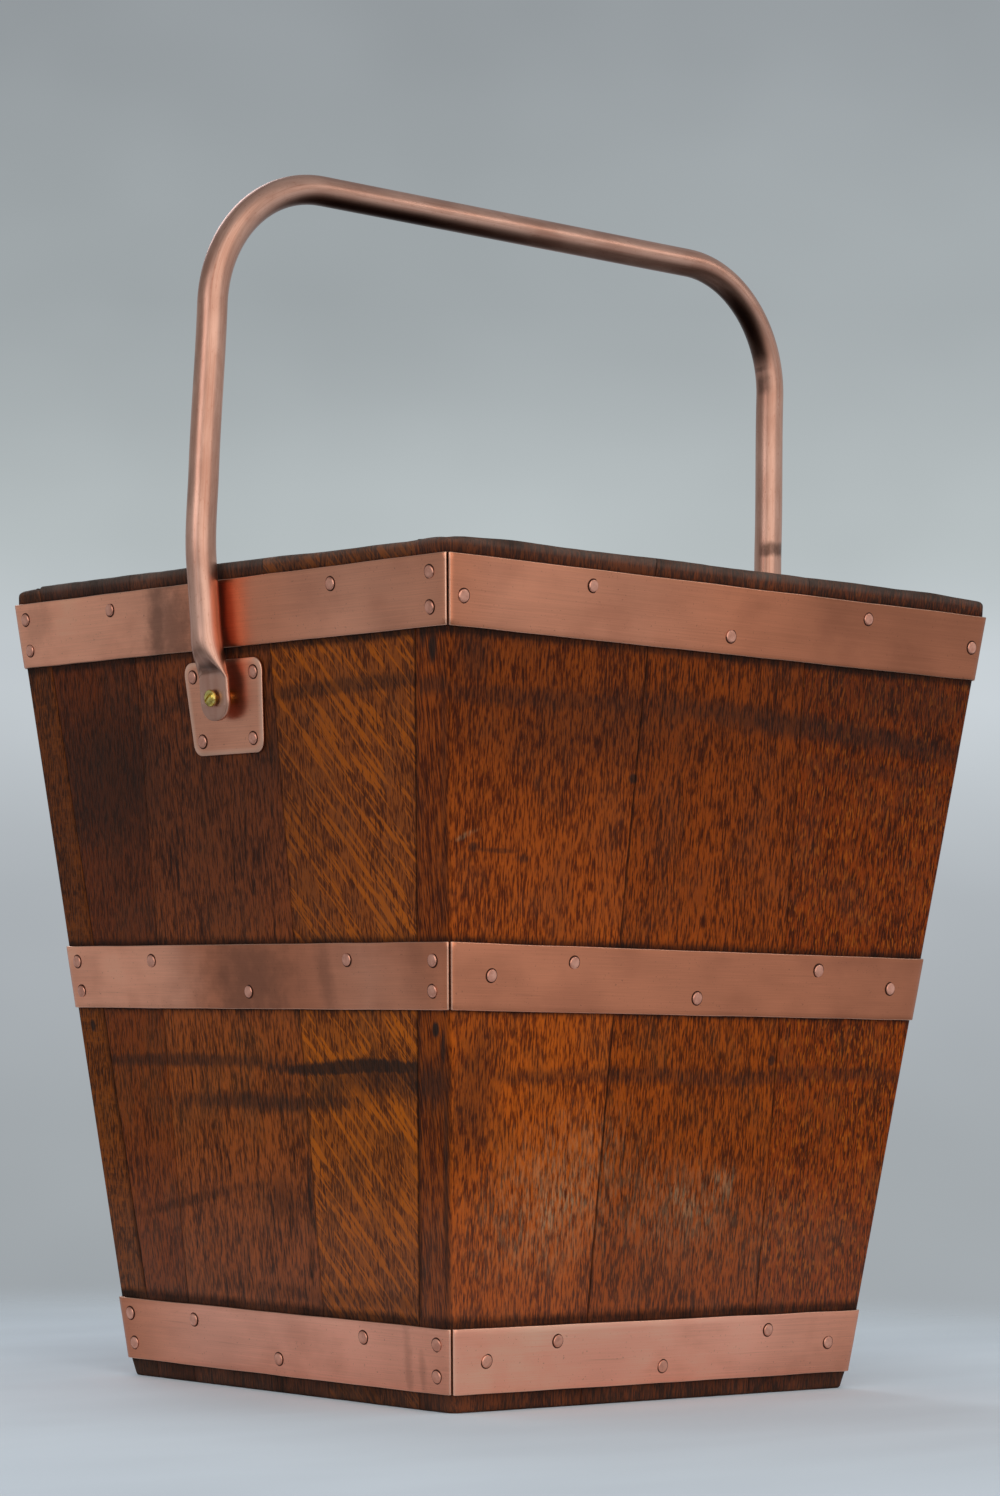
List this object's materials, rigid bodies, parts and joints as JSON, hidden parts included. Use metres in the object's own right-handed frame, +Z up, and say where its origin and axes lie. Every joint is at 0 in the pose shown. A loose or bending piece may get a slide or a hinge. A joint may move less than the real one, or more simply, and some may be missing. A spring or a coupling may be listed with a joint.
{
  "type": "wooden coal bucket",
  "caption": "Square tapered oak coal bucket banded with copper at rim, middle and foot, with a floor let into the boards and a swinging bail of copper tube screwed through bearing plates.",
  "frame": {"origin": "on the ground under the middle of the bucket", "axes": "+Z up, the two plain walls face -Y and +Y, the two walls that carry the bail face -X and +X, and the bail turns about a line along X"},
  "size_m": [0.4026, 0.3456, 0.5991],
  "materials": {
    "wall_oak": "stained and waxed oak, satin",
    "floor_oak": "bare oak, dark with use",
    "sheet_copper": "brushed copper sheet, lightly tarnished",
    "tube_copper": "drawn copper tube, satin",
    "fixing_brass": "turned brass, bright"
  },
  "bodies": {
    "bucket": {"front_board_left": "wall_oak", "front_board_middle": "wall_oak", "front_board_right": "wall_oak", "back_board_left": "wall_oak", "back_board_middle": "wall_oak", "back_board_right": "wall_oak", "left_board_front": "wall_oak", "left_board_middle": "wall_oak", "left_board_back": "wall_oak", "right_board_front": "wall_oak", "right_board_middle": "wall_oak", "right_board_back": "wall_oak", "floor_board_front": "floor_oak", "floor_board_middle": "floor_oak", "floor_board_back": "floor_oak", "front_rim_strip": "sheet_copper", "front_middle_strip": "sheet_copper", "front_foot_strip": "sheet_copper", "back_rim_strip": "sheet_copper", "back_middle_strip": "sheet_copper", "back_foot_strip": "sheet_copper", "left_rim_strip": "sheet_copper", "left_middle_strip": "sheet_copper", "left_foot_strip": "sheet_copper", "right_rim_strip": "sheet_copper", "right_middle_strip": "sheet_copper", "right_foot_strip": "sheet_copper", "left_bearing_plate": "sheet_copper", "left_plate_nail_top_front": "sheet_copper", "left_plate_nail_top_back": "sheet_copper", "left_plate_nail_foot_front": "sheet_copper", "left_plate_nail_foot_back": "sheet_copper", "right_bearing_plate": "sheet_copper", "right_plate_nail_top_front": "sheet_copper", "right_plate_nail_top_back": "sheet_copper", "right_plate_nail_foot_front": "sheet_copper", "right_plate_nail_foot_back": "sheet_copper", "left_pivot_screw": "fixing_brass", "left_pivot_bush": "fixing_brass", "left_pivot_washer": "fixing_brass", "left_pivot_nut": "fixing_brass", "right_pivot_screw": "fixing_brass", "right_pivot_bush": "fixing_brass", "right_pivot_washer": "fixing_brass", "right_pivot_nut": "fixing_brass"},
    "bail": {"bail": "tube_copper"}
  },
  "joints": [
    {"name": "bail_swing", "type": "hinge", "parent": "bucket", "child": "bail", "pos_m": [0, 0, 0.3357], "axis": [1, 0, 0], "range_deg": [-144.3, 141.7]}
  ]
}
